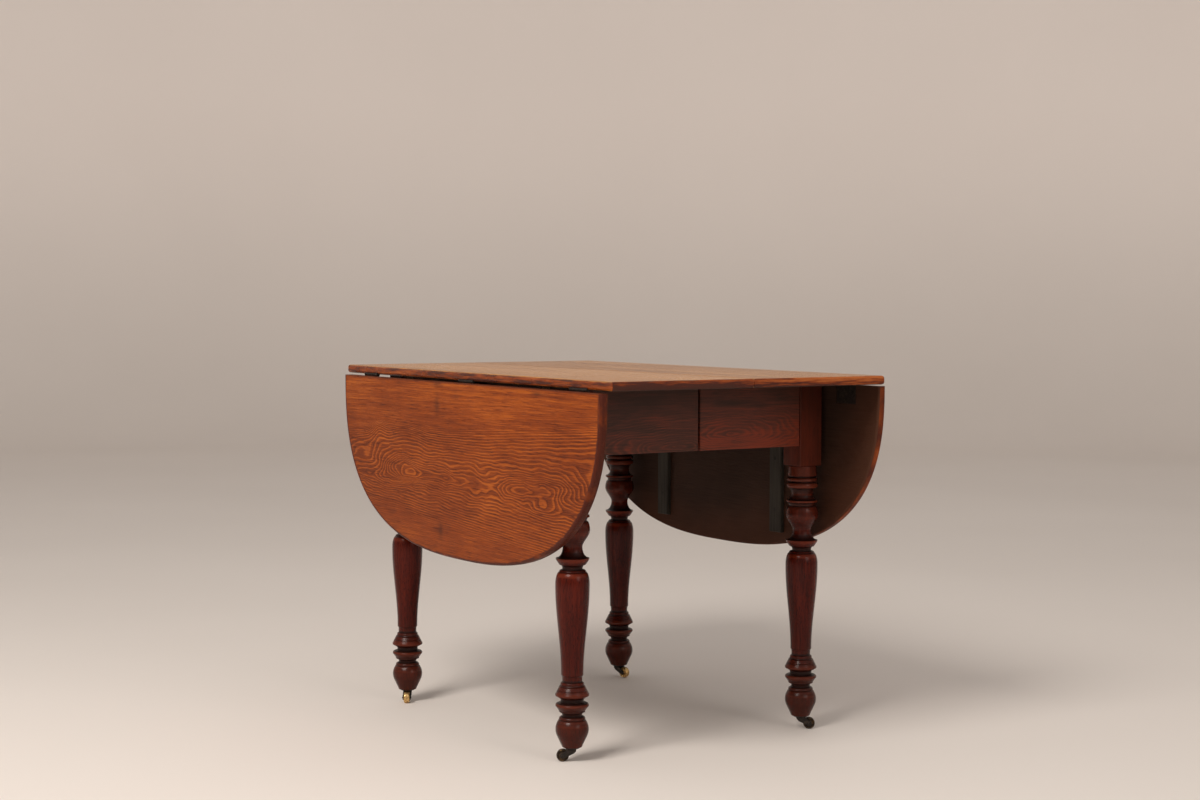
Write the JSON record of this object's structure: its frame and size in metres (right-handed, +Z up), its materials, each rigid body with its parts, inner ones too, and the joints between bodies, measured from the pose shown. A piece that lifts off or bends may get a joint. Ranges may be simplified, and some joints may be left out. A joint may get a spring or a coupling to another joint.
{
  "type": "drop-leaf extension dining table",
  "caption": "Wooden dining table with curved hinged leaves, a parting top on telescoping slides, turned legs and swivelling brass casters.",
  "frame": {"origin": "on the floor under the middle of the closed table", "axes": "+X along the extension towards the moving half, +Y along the hinge lines, +Z up"},
  "size_m": [0.679, 1.09, 0.74],
  "materials": {
    "oak_board": "stained and polished oak, worn",
    "mahogany": "dark red-brown polish, satin",
    "apron_wood": "dark red-brown stain, satin",
    "batten_wood": "bare grey wood, matt",
    "plain_wood": "bare wood, matt",
    "iron": "dark iron, dull",
    "brass": "worn brass"
  },
  "bodies": {
    "left_half": {"left_top": "oak_board", "left_end_apron": "apron_wood", "left_front_apron": "apron_wood", "left_front_leg": "mahogany", "left_front_corner_block": "plain_wood", "left_front_slide_rail": "plain_wood", "left_front_caster_socket": "iron", "left_back_apron": "apron_wood", "left_back_leg": "mahogany", "left_back_corner_block": "plain_wood", "left_back_slide_rail": "plain_wood", "left_back_caster_socket": "iron", "left_front_hinge_top_plate": "iron", "left_middle_hinge_top_plate": "iron", "left_back_hinge_top_plate": "iron"},
    "left_leaf": {"left_leaf": "oak_board", "left_front_batten": "batten_wood", "left_back_batten": "batten_wood", "left_front_hinge_leaf_plate": "iron", "left_middle_hinge_leaf_plate": "iron", "left_back_hinge_leaf_plate": "iron"},
    "right_half": {"right_top": "oak_board", "right_end_apron": "apron_wood", "right_front_apron": "apron_wood", "right_front_leg": "mahogany", "right_front_corner_block": "plain_wood", "right_front_slide_rail": "plain_wood", "right_front_caster_socket": "iron", "right_back_apron": "apron_wood", "right_back_leg": "mahogany", "right_back_corner_block": "plain_wood", "right_back_slide_rail": "plain_wood", "right_back_caster_socket": "iron", "right_front_hinge_top_plate": "iron", "right_middle_hinge_top_plate": "iron", "right_back_hinge_top_plate": "iron"},
    "right_leaf": {"right_leaf": "oak_board", "right_front_batten": "batten_wood", "right_back_batten": "batten_wood", "right_front_hinge_leaf_plate": "iron", "right_middle_hinge_leaf_plate": "iron", "right_back_hinge_leaf_plate": "iron"},
    "slide_runners": {"front_slide_runner": "plain_wood", "back_slide_runner": "plain_wood"},
    "left_front_loper": {"left_front_loper": "plain_wood"},
    "left_front_caster": {"left_front_caster_fork": "iron", "left_front_caster_axle": "iron"},
    "left_front_wheel": {"left_front_caster_wheel": "brass"},
    "left_back_loper": {"left_back_loper": "plain_wood"},
    "left_back_caster": {"left_back_caster_fork": "iron", "left_back_caster_axle": "iron"},
    "left_back_wheel": {"left_back_caster_wheel": "brass"},
    "right_front_loper": {"right_front_loper": "plain_wood"},
    "right_front_caster": {"right_front_caster_fork": "iron", "right_front_caster_axle": "iron"},
    "right_front_wheel": {"right_front_caster_wheel": "brass"},
    "right_back_loper": {"right_back_loper": "plain_wood"},
    "right_back_caster": {"right_back_caster_fork": "iron", "right_back_caster_axle": "iron"},
    "right_back_wheel": {"right_back_caster_wheel": "brass"}
  },
  "joints": [
    {"name": "extension", "type": "slide", "parent": "left_half", "child": "right_half", "axis": [1, 0, 0], "range_m": [0, 0.6]},
    {"name": "runner_slide", "type": "slide", "parent": "left_half", "child": "slide_runners", "axis": [1, 0, 0], "range_m": [0, 0.3]},
    {"name": "left_leaf_hinge", "type": "hinge", "parent": "left_half", "child": "left_leaf", "pos_m": [-0.321, 0, 0.7215], "axis": [0, 1, 0], "range_deg": [0, 90]},
    {"name": "left_front_loper_slide", "type": "slide", "parent": "left_half", "child": "left_front_loper", "axis": [-1, 0, 0], "range_m": [0, 0.016]},
    {"name": "left_front_caster_swivel", "type": "hinge", "parent": "left_half", "child": "left_front_caster", "pos_m": [-0.28, -0.342, 0], "axis": [0, 0, 1], "continuous": true},
    {"name": "left_front_wheel_spin", "type": "hinge", "parent": "left_front_caster", "child": "left_front_wheel", "pos_m": [-0.2951, -0.3322, 0.012], "axis": [-0.5446, -0.8387, 0], "continuous": true},
    {"name": "left_back_loper_slide", "type": "slide", "parent": "left_half", "child": "left_back_loper", "axis": [-1, 0, 0], "range_m": [0, 0.016]},
    {"name": "left_back_caster_swivel", "type": "hinge", "parent": "left_half", "child": "left_back_caster", "pos_m": [-0.28, 0.342, 0], "axis": [0, 0, 1], "continuous": true},
    {"name": "left_back_wheel_spin", "type": "hinge", "parent": "left_back_caster", "child": "left_back_wheel", "pos_m": [-0.2898, 0.3269, 0.012], "axis": [0.8387, -0.5446, 0], "continuous": true},
    {"name": "right_leaf_hinge", "type": "hinge", "parent": "right_half", "child": "right_leaf", "pos_m": [0.321, 0, 0.7215], "axis": [0, -1, 0], "range_deg": [0, 90]},
    {"name": "right_front_loper_slide", "type": "slide", "parent": "right_half", "child": "right_front_loper", "axis": [1, 0, 0], "range_m": [0, 0.016]},
    {"name": "right_front_caster_swivel", "type": "hinge", "parent": "right_half", "child": "right_front_caster", "pos_m": [0.28, -0.342, 0], "axis": [0, 0, 1], "continuous": true},
    {"name": "right_front_wheel_spin", "type": "hinge", "parent": "right_front_caster", "child": "right_front_wheel", "pos_m": [0.2951, -0.3518, 0.012], "axis": [0.5446, 0.8387, 0], "continuous": true},
    {"name": "right_back_loper_slide", "type": "slide", "parent": "right_half", "child": "right_back_loper", "axis": [1, 0, 0], "range_m": [0, 0.016]},
    {"name": "right_back_caster_swivel", "type": "hinge", "parent": "right_half", "child": "right_back_caster", "pos_m": [0.28, 0.342, 0], "axis": [0, 0, 1], "continuous": true},
    {"name": "right_back_wheel_spin", "type": "hinge", "parent": "right_back_caster", "child": "right_back_wheel", "pos_m": [0.28374, 0.32439, 0.012], "axis": [0.9781, 0.2079, 0], "continuous": true}
  ],
  "couplings": [
    {"joint": "runner_slide", "follows": "extension", "ratio": 0.5}
  ]
}
